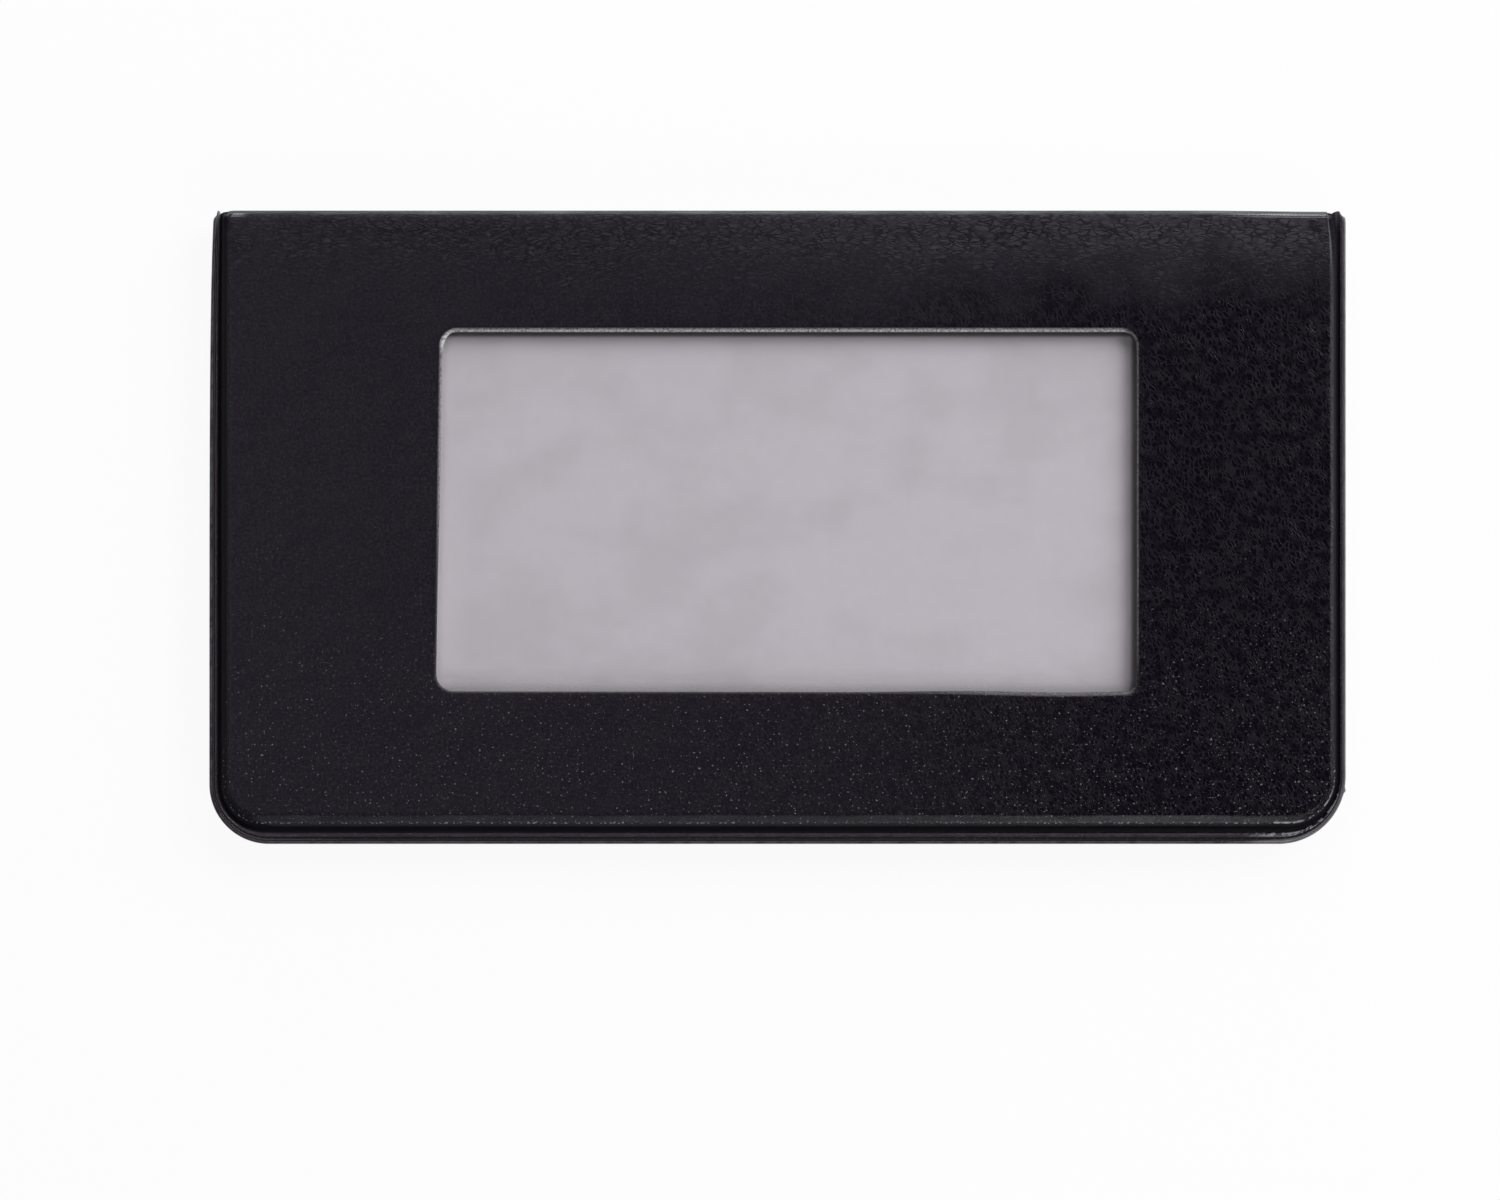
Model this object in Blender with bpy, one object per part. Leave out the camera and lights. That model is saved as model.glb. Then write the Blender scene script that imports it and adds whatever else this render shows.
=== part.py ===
# Folding business card holder of welded vinyl, closed and lying on its back cover.
# The fold runs along the +Y edge, the window faces +Z, and the card slides out towards +X.
# Units are metres. The origin is at the middle of the closed holder's underside.

import math

import bmesh
import bpy
from mathutils import Matrix, Vector

mm = 0.001

# Card, which sets the holder's size with the room round it
card_width = 88.9 * mm
card_height = 50.8 * mm
card_thickness = 0.35 * mm
card_corner = 0.4 * mm
card_play = 2.25 * mm  # between card and pocket, up and down together
card_room_left = 6.05 * mm  # between the card and the pocket's closed end
card_room_right = 3.75 * mm  # between the card and the pocket's mouth
mouth_setback = 4.2 * mm  # pocket mouths end this far in from the holder's right edge

# Layers of one cover, from its outer face towards the other cover
skin_thickness = 0.4 * mm
board_thickness = 0.7 * mm
film_thickness = 0.2 * mm  # window film and back lining
pocket_thickness = 0.2 * mm
layer_gap = 0.1 * mm  # between sheets that lie on each other
cover_gap = 0.1 * mm  # between the closed covers

# Weld flange and shoulder of a cover
corner_radius = 5.8 * mm  # lower corners of the flange
flange_thickness = 0.4 * mm
flange_left = 0.95 * mm  # from the left edge to the middle of the weld groove
flange_low = 1.3 * mm  # the same at the bottom edge
flange_right = 0.72 * mm  # and at the right edge
edge_round = 0.1 * mm
groove_depth = 0.1 * mm
groove_width = 0.6 * mm
bead_height = 0.14 * mm
bead_width = 0.3 * mm  # the bead runs along the groove's outer side
wall_run = 0.35 * mm  # how far the side wall leans in
shoulder_radius = 0.8 * mm
wall_clearance = 0.2 * mm  # sheets inside a skin stay this far from its walls

# Fold along the top edge
fold_radius = 1.0 * mm
fold_joint = 0.2 * mm  # running gap between the spine and each cover
board_setback = 2.5 * mm  # the sheets inside end this far from the fold's outer face
spine_lining_thickness = 0.2 * mm
flange_drop = 0.4 * mm  # the folded flange lies this far below the fold's face
ear_width = 0.55 * mm  # bulge in the middle of the folded flange
ear_height = 0.05 * mm  # it stands this far above the fold's face

# Window
window_width = 64.2 * mm
window_height = 33.5 * mm
window_radius = 1.5 * mm
window_right = 1.0 * mm  # window's middle, right of the holder's middle
window_up = 1.45 * mm  # and above it
window_bevel = 0.2 * mm  # slope of the window's cut edge
board_window_step = 0.5 * mm  # the board's opening is this much larger on each side

# Pocket sheets
pocket_land = 1.4 * mm  # weld land over the flange
pocket_rim = 0.35 * mm  # run of the slope from land to sheet
fold_seam = 0.6 * mm  # width of the seam beside the fold
notch_radius = 7.5 * mm

arc_steps = 8
past = 6.0 * mm  # how far blanks and cutters run past what they are cut to

# Depths under a cover's outer face, worked out from the layers
board_depth = skin_thickness + layer_gap
film_depth = board_depth + board_thickness + layer_gap
inner_face = film_depth + film_thickness
land_depth = inner_face + layer_gap
card_depth = land_depth
pocket_depth = card_depth + card_thickness + layer_gap
flange_top = inner_face - flange_thickness
middle = pocket_depth + pocket_thickness + cover_gap / 2
holder_thickness = 2 * middle

# Insets from the bottom edge
groove_inset = flange_low
wall_top = groove_inset + wall_run
panel_inset = wall_top + shoulder_radius
inner_wall = groove_inset + skin_thickness
inside_inset = inner_wall + wall_clearance
board_inset = panel_inset + wall_clearance
pocket_inset = inside_inset + pocket_rim

# Outer size of the closed holder, built up round the card
pocket_left = pocket_inset + flange_left - groove_inset
holder_width = pocket_left + card_room_left + card_width + card_room_right + mouth_setback
above_card = fold_seam + board_setback + ear_height
holder_height = pocket_inset + card_play + card_height + above_card
half_width = holder_width / 2
bottom = -holder_height / 2
fold_face = holder_height / 2 - ear_height
sheet_top = fold_face - board_setback
card_left = -half_width + pocket_left + card_room_left
card_low = bottom + pocket_inset + card_play / 2


def clear_scene():
    for obj in list(bpy.data.objects):
        bpy.data.objects.remove(obj, do_unlink=True)
    for collection in list(bpy.data.collections):
        bpy.data.collections.remove(collection)


def new_collection(name):
    collection = bpy.data.collections.new(name)
    bpy.context.scene.collection.children.link(collection)
    return collection


def new_material(name, colour, roughness, metallic=0.0, alpha=1.0):
    material = bpy.data.materials.new(name)
    material.use_nodes = True
    shader = material.node_tree.nodes["Principled BSDF"]
    shader.inputs["Base Color"].default_value = (*colour, 1.0)
    shader.inputs["Roughness"].default_value = roughness
    shader.inputs["Metallic"].default_value = metallic
    shader.inputs["Alpha"].default_value = alpha
    material.diffuse_color = (*colour, alpha)
    return material


def rounded_outline(left, right, low, high, low_radius, high_radius):
    """Points round a rectangle, anticlockwise, with an arc at each corner."""
    corners = (
        (left + low_radius, low + low_radius, low_radius, 180),
        (right - low_radius, low + low_radius, low_radius, 270),
        (right - high_radius, high - high_radius, high_radius, 0),
        (left + high_radius, high - high_radius, high_radius, 90),
    )
    points = []
    for x, y, radius, start in corners:
        for step in range(arc_steps + 1):
            angle = math.radians(start + 90 * step / arc_steps)
            points.append((x + radius * math.cos(angle), y + radius * math.sin(angle)))
    return points


def side_inset(inset, groove):
    """An inset measured at the bottom edge, carried to a side whose groove lies elsewhere."""
    if inset <= groove_inset:
        return inset * groove / groove_inset
    return inset + groove - groove_inset


def corner_within(inset):
    """Radius that keeps a lower corner concentric with the flange's."""
    return max(corner_radius - inset, card_corner)


def cover_outline(inset, high, low_radius, high_radius):
    return rounded_outline(
        -half_width + side_inset(inset, flange_left),
        half_width - side_inset(inset, flange_right),
        bottom + inset,
        high,
        low_radius,
        high_radius,
    )


def finish_object(name, mesh, collection, material):
    obj = bpy.data.objects.new(name, mesh)
    collection.objects.link(obj)
    if material:
        mesh.materials.append(material)
    mesh.shade_smooth()
    mesh.set_sharp_from_angle(angle=math.radians(40))
    return obj


def loft(name, rings, collection, material=None):
    """A closed solid through rings of equally many points, capped at the first and last."""
    shape = bmesh.new()
    rows = [[shape.verts.new(point) for point in ring] for ring in rings]
    for row, following in zip(rows, rows[1:]):
        for place in range(len(row)):
            after = (place + 1) % len(row)
            shape.faces.new((row[place], row[after], following[after], following[place]))
    shape.faces.new(rows[0])
    shape.faces.new(rows[-1])
    bmesh.ops.recalc_face_normals(shape, faces=shape.faces)
    mesh = bpy.data.meshes.new(name)
    shape.to_mesh(mesh)
    shape.free()
    return finish_object(name, mesh, collection, material)


def extruded(name, outline, start, end, collection, material=None, along="Z"):
    """A flat outline extruded along Z, or along X with the outline in the YZ plane."""
    curve = bpy.data.curves.new(name, "CURVE")
    curve.dimensions = "2D"
    curve.fill_mode = "BOTH"
    curve.extrude = (end - start) / 2
    spline = curve.splines.new("POLY")
    spline.points.add(len(outline) - 1)
    for point, (first, second) in zip(spline.points, outline):
        point.co = (first, second, 0.0, 1.0)
    spline.use_cyclic_u = True
    guide = bpy.data.objects.new(name + "_outline", curve)
    collection.objects.link(guide)
    centre = (start + end) / 2
    if along == "X":
        guide.rotation_euler = (math.pi / 2, 0.0, math.pi / 2)
        guide.location = (centre, 0.0, 0.0)
    else:
        guide.location = (0.0, 0.0, centre)
    bpy.context.view_layer.update()
    graph = bpy.context.evaluated_depsgraph_get()
    mesh = bpy.data.meshes.new_from_object(guide.evaluated_get(graph))
    mesh.name = name
    place = guide.matrix_world.copy()
    bpy.data.objects.remove(guide, do_unlink=True)
    shape = bmesh.new()
    shape.from_mesh(mesh)
    bmesh.ops.remove_doubles(shape, verts=shape.verts, dist=1e-7)
    bmesh.ops.recalc_face_normals(shape, faces=shape.faces)
    shape.to_mesh(mesh)
    shape.free()
    mesh.materials.clear()
    obj = finish_object(name, mesh, collection, material)
    obj.matrix_world = place
    return obj


def as_cutter(obj):
    obj.hide_render = True
    obj.display_type = "WIRE"
    return obj


def boolean(obj, cutter, operation):
    modifier = obj.modifiers.new(operation.title() + " " + cutter.name, "BOOLEAN")
    modifier.operation = operation
    modifier.object = cutter


def level(depth, front):
    """Height of a layer that lies this deep under its cover's outer face."""
    return holder_thickness - depth if front else depth


def skin_profile():
    """Inset and depth of each ring of a skin, from its outer face round the flange to its inner face."""
    profile = []
    for step in range(5):
        angle = math.radians(90 * step / 4)
        profile.append(
            (
                panel_inset - shoulder_radius * math.sin(angle),
                shoulder_radius * (1 - math.cos(angle)),
            )
        )
    bead_place = groove_inset - (groove_width + bead_width) / 2
    profile += [
        (groove_inset + groove_width / 2, flange_top - groove_depth),
        (groove_inset, flange_top + groove_depth),
        (groove_inset - groove_width / 2, flange_top),
        (bead_place, flange_top - bead_height),
        (bead_place - bead_width / 2, flange_top),
        (edge_round, flange_top),
        (0.0, flange_top + edge_round),
        (0.0, inner_face),
        (inner_wall, inner_face),
        (inner_wall + wall_run, shoulder_radius),
        (panel_inset, skin_thickness),
    ]
    return profile


def skin_rings(front):
    """The profile carried round the cover. The upper side runs past the fold and is cut off there."""
    rings = []
    for inset, depth in skin_profile():
        radius = corner_within(inset)
        outline = cover_outline(inset, fold_face + past - inset, radius, radius)
        rings.append([(x, y, level(depth, front)) for x, y in outline])
    return rings


def fold_arc(start, end):
    """Points of the fold's rounded lower edge, by angle from straight down, as (y, z)."""
    steps = arc_steps // 2
    return [
        (
            fold_face - fold_radius + fold_radius * math.sin(math.radians(angle)),
            fold_radius - fold_radius * math.cos(math.radians(angle)),
        )
        for angle in (start + (end - start) * step / steps for step in range(steps + 1))
    ]


def shifted(points, along_y, along_z):
    return [(y + along_y, z + along_z) for y, z in points]


def cover_section(front):
    """Space of one cover in the YZ plane: the rounded fold edge, then a mitre towards the other cover."""
    gap = fold_joint / 2 * math.sqrt(2)
    section = [(bottom - past, -past), (fold_face - fold_radius - gap, -past)]
    section += shifted(fold_arc(0, 45), -gap, 0.0)
    section += [(fold_face - middle - gap, middle), (bottom - past, middle)]
    return [(y, level(z, front)) for y, z in section]


def spine_section():
    """Space of the spine in the YZ plane, between the two mitres."""
    gap = fold_joint / 2 * math.sqrt(2)
    lower = shifted(fold_arc(45, 90), 0.0, gap)
    section = [(fold_face - middle + gap, middle)] + lower
    section.append((fold_face + past, lower[-1][1]))
    mirrored = [(y, holder_thickness - z) for y, z in reversed(section[1:])]
    return section + mirrored


def spine_outline():
    """The skin's profile between the two weld grooves, as (x, y), outer side first."""
    profile = skin_profile()
    groove = profile.index((groove_inset, flange_top + groove_depth))
    wall = profile.index((inner_wall, inner_face))
    outer, inner = profile[: groove + 1], [(groove_inset, inner_face)] + profile[wall:]

    def left(pairs):
        return [(-half_width + side_inset(i, flange_left), fold_face - d) for i, d in pairs]

    def right(pairs):
        return [(half_width - side_inset(i, flange_right), fold_face - d) for i, d in pairs]

    return left(outer[::-1]) + right(outer) + right(inner) + left(inner[::-1])


def arch_outline(rise, swell, bore):
    """Section of the folded flange in the YZ plane: a half ring round the middle plane.

    Its outer curve is an ellipse that rises and swells past the plain flange, and its bore is round."""
    reach = middle - flange_top
    centre = fold_face - flange_drop - reach
    angles = [math.radians(180 * step / (2 * arc_steps)) for step in range(2 * arc_steps + 1)]
    outer = [
        (centre + (reach + rise) * math.sin(a), middle - (reach + swell) * math.cos(a))
        for a in angles
    ]
    inner = [(centre + bore * math.sin(a), middle - bore * math.cos(a)) for a in angles]
    return outer + inner[::-1]


def window_outline(step):
    """The window grown by a step on each side."""
    return rounded_outline(
        window_right - window_width / 2 - step,
        window_right + window_width / 2 + step,
        window_up - window_height / 2 - step,
        window_up + window_height / 2 + step,
        window_radius + step,
        window_radius + step,
    )


def make_window_cutter(cutters):
    """The window's edge slopes open at the outer face."""
    steps = (
        (window_bevel + past, -past),
        (window_bevel, 0.0),
        (0.0, window_bevel),
        (0.0, skin_thickness + layer_gap),
    )
    rings = [
        [(x, y, level(depth, True)) for x, y in window_outline(step)] for step, depth in steps
    ]
    return as_cutter(loft("window_cutter", rings, cutters))


def make_skin(name, front, parts, cutters, material):
    skin = loft(name, skin_rings(front), parts, material)
    space = extruded(name + "_space", cover_section(front), -holder_width, holder_width, cutters, along="X")
    boolean(skin, as_cutter(space), "INTERSECT")
    return skin


def make_spine(parts, cutters, material):
    """The strip between the covers, with the flange and its bulge folded round at both ends."""
    spine = extruded("spine_skin", spine_outline(), -past, holder_thickness + past, parts, material)
    bore = middle - inner_face
    flange = arch_outline(0.0, 0.0, bore)
    ear = arch_outline(flange_drop + ear_height, bead_height, bore + flange_thickness / 4)
    ear_start = (groove_inset - ear_width) / 2
    loops = (
        ("flange", flange, 0.0, inside_inset),
        ("ear", ear, ear_start, ear_start + ear_width),
    )
    for label, outline, near, far in loops:
        for side, groove, facing in (("left", flange_left, -1), ("right", flange_right, 1)):
            ends = sorted(facing * (half_width - side_inset(i, groove)) for i in (near, far))
            loop = extruded(label + "_loop_" + side, outline, *ends, cutters, along="X")
            boolean(spine, as_cutter(loop), "UNION")
    space = extruded("spine_space", spine_section(), -holder_width, holder_width, cutters, along="X")
    boolean(spine, as_cutter(space), "INTERSECT")
    return spine


def make_spine_lining(parts, material):
    left = -half_width + side_inset(board_inset, flange_left)
    right = half_width - side_inset(board_inset, flange_right)
    near = fold_face - skin_thickness - layer_gap
    far = near - spine_lining_thickness
    low = fold_face - far + fold_joint + layer_gap
    bpy.ops.mesh.primitive_cube_add(size=1.0)
    lining = bpy.context.object
    lining.name = "spine_lining"
    size = Vector((right - left, near - far, holder_thickness - 2 * low))
    centre = Vector(((left + right) / 2, (near + far) / 2, middle))
    lining.data.transform(Matrix.Diagonal(size.to_4d()))
    lining.location = centre
    for collection in list(lining.users_collection):
        collection.objects.unlink(lining)
    parts.objects.link(lining)
    lining.data.materials.append(material)
    return lining


def make_sheet(name, inset, depth, thickness, front, parts, material):
    """A flat sheet inside a skin's walls, ending short of the fold."""
    outline = cover_outline(inset, sheet_top, corner_within(inset), card_corner)
    low, high = sorted((level(depth, front), level(depth + thickness, front)))
    return extruded(name, outline, low, high, parts, material)


def pocket_outline(inset):
    """Outline of a pocket sheet. Beside the fold its land is only as wide as the seam."""
    outer = inside_inset - pocket_land
    high = sheet_top - (inset - outer) * fold_seam / (pocket_land + pocket_rim)
    return cover_outline(inset, high, corner_within(inset), card_corner)


def make_pocket(name, front, parts, cutters, material):
    """A pocket sheet welded on three sides, open towards +X, with a thumb notch in the mouth."""
    outer = inside_inset - pocket_land
    foot = inside_inset
    top = pocket_inset
    steps = (
        (top, pocket_depth + pocket_thickness),
        (foot, land_depth + pocket_thickness),
        (outer, land_depth + pocket_thickness),
        (outer, land_depth),
        (foot, land_depth),
        (top, pocket_depth),
    )
    rings = [
        [(x, y, level(depth, front)) for x, y in pocket_outline(inset)] for inset, depth in steps
    ]
    pocket = loft(name, rings, parts, material)
    mouth = half_width - mouth_setback
    low, high = sorted((level(land_depth - layer_gap, front), level(pocket_depth + past, front)))
    beyond = rounded_outline(mouth, mouth + past, bottom - past, fold_face + past, card_corner, card_corner)
    boolean(pocket, as_cutter(extruded(name + "_mouth", beyond, low, high, cutters)), "DIFFERENCE")
    notch = [
        (
            mouth + notch_radius * math.cos(2 * math.pi * step / (4 * arc_steps)),
            window_up + notch_radius * math.sin(2 * math.pi * step / (4 * arc_steps)),
        )
        for step in range(4 * arc_steps)
    ]
    boolean(pocket, as_cutter(extruded(name + "_notch", notch, low, high, cutters)), "DIFFERENCE")
    return pocket


def make_card(parts, material):
    outline = rounded_outline(
        card_left, card_left + card_width, card_low, card_low + card_height, card_corner, card_corner
    )
    low, high = level(card_depth + card_thickness, True), level(card_depth, True)
    return extruded("display_card", outline, low, high, parts, material)


def pivot(name, position, collection):
    """An empty on a fold line, which carries what turns there."""
    empty = bpy.data.objects.new(name, None)
    empty.empty_display_size = holder_thickness
    empty.location = position
    collection.objects.link(empty)
    return empty


def carry(parent, children):
    bpy.context.view_layer.update()
    for child in children:
        world = child.matrix_world.copy()
        child.parent = parent
        child.matrix_parent_inverse = parent.matrix_world.inverted()
        child.matrix_world = world


def main():
    clear_scene()
    parts = new_collection("business_card_holder")
    cutters = new_collection("cutters")

    grained = new_material("grained_vinyl", (0.012, 0.011, 0.014), 0.42)
    board = new_material("greyboard", (0.32, 0.29, 0.25), 0.9)
    clear = new_material("clear_vinyl", (0.8, 0.8, 0.82), 0.12, alpha=0.3)
    lining = new_material("lining_vinyl", (0.018, 0.018, 0.02), 0.5)
    paper = new_material("card_stock", (0.45, 0.42, 0.46), 0.75)

    back_skin = make_skin("back_skin", False, parts, cutters, grained)
    front_skin = make_skin("front_skin", True, parts, cutters, grained)
    window = make_window_cutter(cutters)
    boolean(front_skin, window, "DIFFERENCE")
    spine_skin = make_spine(parts, cutters, grained)
    spine_lining = make_spine_lining(parts, lining)

    back_board = make_sheet("back_board", board_inset, board_depth, board_thickness, False, parts, board)
    front_board = make_sheet("front_board", board_inset, board_depth, board_thickness, True, parts, board)
    board_window = extruded(
        "board_window_cutter",
        window_outline(board_window_step),
        level(board_depth + board_thickness + layer_gap, True),
        level(0.0, True),
        cutters,
    )
    boolean(front_board, as_cutter(board_window), "DIFFERENCE")

    back_lining = make_sheet("back_lining", inside_inset, film_depth, film_thickness, False, parts, lining)
    window_film = make_sheet("window_film", inside_inset, film_depth, film_thickness, True, parts, clear)
    clear_pocket = make_pocket("clear_pocket", False, parts, cutters, clear)
    front_lining = make_pocket("front_lining", True, parts, cutters, lining)
    display_card = make_card(parts, paper)

    back_fold = pivot("back_fold", (0.0, fold_face, 0.0), parts)
    front_fold = pivot("front_fold", (0.0, fold_face, holder_thickness), parts)
    carry(back_fold, [spine_skin, spine_lining, front_fold])
    carry(front_fold, [front_skin, front_board, window_film, front_lining, display_card])
    print("closed holder made of", len([o for o in parts.objects if o.type == "MESH"]), "pieces")
    print("carried by the table:", back_skin.name, back_board.name, back_lining.name, clear_pocket.name)


main()
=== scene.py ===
import math

import bmesh
import bpy
import numpy as np
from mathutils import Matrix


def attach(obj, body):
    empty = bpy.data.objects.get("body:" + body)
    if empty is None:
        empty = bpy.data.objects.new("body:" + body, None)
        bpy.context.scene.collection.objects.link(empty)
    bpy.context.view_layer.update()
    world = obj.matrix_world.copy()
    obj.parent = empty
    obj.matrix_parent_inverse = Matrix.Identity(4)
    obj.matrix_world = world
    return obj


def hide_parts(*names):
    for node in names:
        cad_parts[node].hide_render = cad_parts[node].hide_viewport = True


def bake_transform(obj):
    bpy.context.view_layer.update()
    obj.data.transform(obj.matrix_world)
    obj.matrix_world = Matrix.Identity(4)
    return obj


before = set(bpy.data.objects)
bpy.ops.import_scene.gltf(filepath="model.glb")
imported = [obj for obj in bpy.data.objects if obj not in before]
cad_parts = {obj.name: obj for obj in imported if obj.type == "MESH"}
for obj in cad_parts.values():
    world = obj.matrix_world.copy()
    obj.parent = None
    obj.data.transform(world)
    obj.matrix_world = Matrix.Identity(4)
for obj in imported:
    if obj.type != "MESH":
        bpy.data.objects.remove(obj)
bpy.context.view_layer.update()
mm = 0.001
sheetSpan = 200  # millimetres of flat sheet across the UV square

# Folding business card holder of welded vinyl. Lengths are in millimetres until they reach a mesh.
# Depths count from a cover's outer face inwards, and insets from its bottom edge.
holder = dict(
    halfWidth=52.4,
    bottom=-29.225,
    fold=29.175,  # outer face of the spine
    thick=4.6,
    sheet=0.4,  # thickness of the cover's vinyl
    cornerLeft=5.5,  # radius of the flange's lower corners
    cornerRight=6.2,
    foldRadius=1.0,
    seamGap=0.004,  # between the two halves, along the middle of the spine
    fall=0.09,  # the covers fall this far towards the fold
    fallStart=22.5,
    fallEnd=28.5,
)


class Wire:
    # A socket's value. Arithmetic on it adds Math nodes
    def __init__(self, paint, socket):
        self.paint, self.socket = paint, socket

    def __add__(self, other):
        return self.paint.math("ADD", self, other)

    __radd__ = __add__

    def __sub__(self, other):
        return self.paint.math("SUBTRACT", self, other)

    def __rsub__(self, other):
        return self.paint.math("SUBTRACT", other, self)

    def __mul__(self, other):
        return self.paint.math("MULTIPLY", self, other)

    __rmul__ = __mul__


class Paint:
    # One material and the nodes that make it
    def __init__(self, name):
        self.material = bpy.data.materials.new(name)
        self.material.use_nodes = True
        self.tree = self.material.node_tree
        self.tree.nodes.clear()

    def node(self, kind, settings=None, sockets=(), output=0):
        # Settings first, then the sockets by name or by order. Gives the chosen output
        made = self.tree.nodes.new(kind)
        for key, value in (settings or {}).items():
            setattr(made, key, value)
        named = sockets.items() if isinstance(sockets, dict) else enumerate(sockets)
        for key, value in named:
            if isinstance(value, Wire):
                self.tree.links.new(value.socket, made.inputs[key])
            elif value is not None:
                made.inputs[key].default_value = value
        return Wire(self, made.outputs[output]) if made.outputs else None

    def math(self, operation, *values):
        return self.node("ShaderNodeMath", {"operation": operation}, values)

    def step(self, value, low, high):
        # 0 below low, 1 above high, smooth between
        sockets = {"Value": value, "From Min": low, "From Max": high}
        return self.node("ShaderNodeMapRange", {"interpolation_type": "SMOOTHSTEP"}, sockets)

    def band(self, value, start, full, fading, end):
        # 0 up to start, 1 from full to fading, 0 past end
        return self.step(value, start, full) * (1 - self.step(value, fading, end))

    def blend(self, factor, first, second):
        # Between two colours, each a wire or three numbers
        first, second = ((*side, 1) if isinstance(side, tuple) else side for side in (first, second))
        return self.node("ShaderNodeMix", {"data_type": "RGBA"}, {0: factor, 6: first, 7: second}, output=2)

    def scaled(self, vector, x, y, z):
        return self.node("ShaderNodeVectorMath", {"operation": "MULTIPLY"}, (vector, (x, y, z)))

    def moved(self, vector, other):
        return self.node("ShaderNodeVectorMath", {"operation": "ADD"}, (vector, other))

    def turned(self, vector, angle):
        sockets = {"Vector": vector, "Angle": angle}
        return self.node("ShaderNodeVectorRotate", {"rotation_type": "Z_AXIS"}, sockets)

    def part(self, vector, axis):
        return self.node("ShaderNodeSeparateXYZ", {}, (vector,), output=axis)

    def value(self, attribute):
        return self.node("ShaderNodeAttribute", {"attribute_name": attribute}, output=2)

    def noise(self, vector, scale, detail=2.0, roughness=0.5, output=0):
        sockets = {"Vector": vector, "Scale": scale, "Detail": detail, "Roughness": roughness}
        return self.node("ShaderNodeTexNoise", {}, sockets, output)

    def cells(self, vector, scale):
        # Distance to the nearest edge between irregular cells
        sockets = {"Vector": vector, "Scale": scale}
        return self.node("ShaderNodeTexVoronoi", {"feature": "DISTANCE_TO_EDGE"}, sockets)

    def bump(self, height, distance, normal=None):
        sockets = {"Distance": distance, "Height": height, "Normal": normal}
        return self.node("ShaderNodeBump", {}, sockets)

    def onObject(self):
        # Millimetres on the object
        return self.scaled(self.node("ShaderNodeTexCoord", output=3), 1 / mm, 1 / mm, 1 / mm)

    def flatSheet(self):
        # Millimetres on the flat sheet, right of its middle and down from the fold
        flat = self.node("ShaderNodeUVMap", {"uv_map": "flat"})
        return self.moved(self.scaled(flat, sheetSpan, sheetSpan, 0), (-sheetSpan / 2, -sheetSpan / 2, 0))

    def finish(self, **sockets):
        named = {key.replace("_", " "): value for key, value in sockets.items()}
        shader = self.node("ShaderNodeBsdfPrincipled", {}, named)
        self.node("ShaderNodeOutputMaterial", {}, (shader,))
        return self.material


def smoothThrough(points, count):
    # A cubic over each span, whose end slopes are half the chord between the neighbouring points
    points = np.asarray(points, float)
    ends = np.vstack([2 * points[0] - points[1], points, 2 * points[-1] - points[-2]])
    p0, p1, p2, p3 = (ends[k : len(points) - 1 + k, None] for k in range(4))
    t = (np.arange(count) / count)[None, :, None]
    square, cube = 2 * p0 - 5 * p1 + 4 * p2 - p3, 3 * p1 - p0 - 3 * p2 + p3
    curve = 0.5 * (2 * p1 + (p2 - p0) * t + square * t**2 + cube * t**3)
    return np.vstack([curve.reshape(-1, points.shape[1]), points[-1:]])


def smoothStep(value, low, high):
    t = np.clip((value - low) / (high - low), 0, 1)
    return t * t * (3 - 2 * t)


def gridFaces(rows, columns, first):
    # Four corners of every cell of a grid whose points are numbered row by row from first
    corner = first + np.arange(rows - 1)[:, None] * columns + np.arange(columns - 1)[None]
    return np.stack([corner, corner + 1, corner + columns + 1, corner + columns], -1).reshape(-1, 4)


def eased(grid):
    # The cover falls towards the fold: most at its outer face, not at all at the middle plane
    towardsFold = smoothStep(grid[..., 1], holder["fallStart"], holder["fallEnd"])
    outwards = smoothStep(grid[..., 2], holder["thick"] / 2, holder["thick"])
    grid[..., 2] -= holder["fall"] * towardsFold * outwards


def turnedOver(grid):
    # The front cover's shape, made the back cover's
    grid[..., 2] = holder["thick"] - grid[..., 2]


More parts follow.
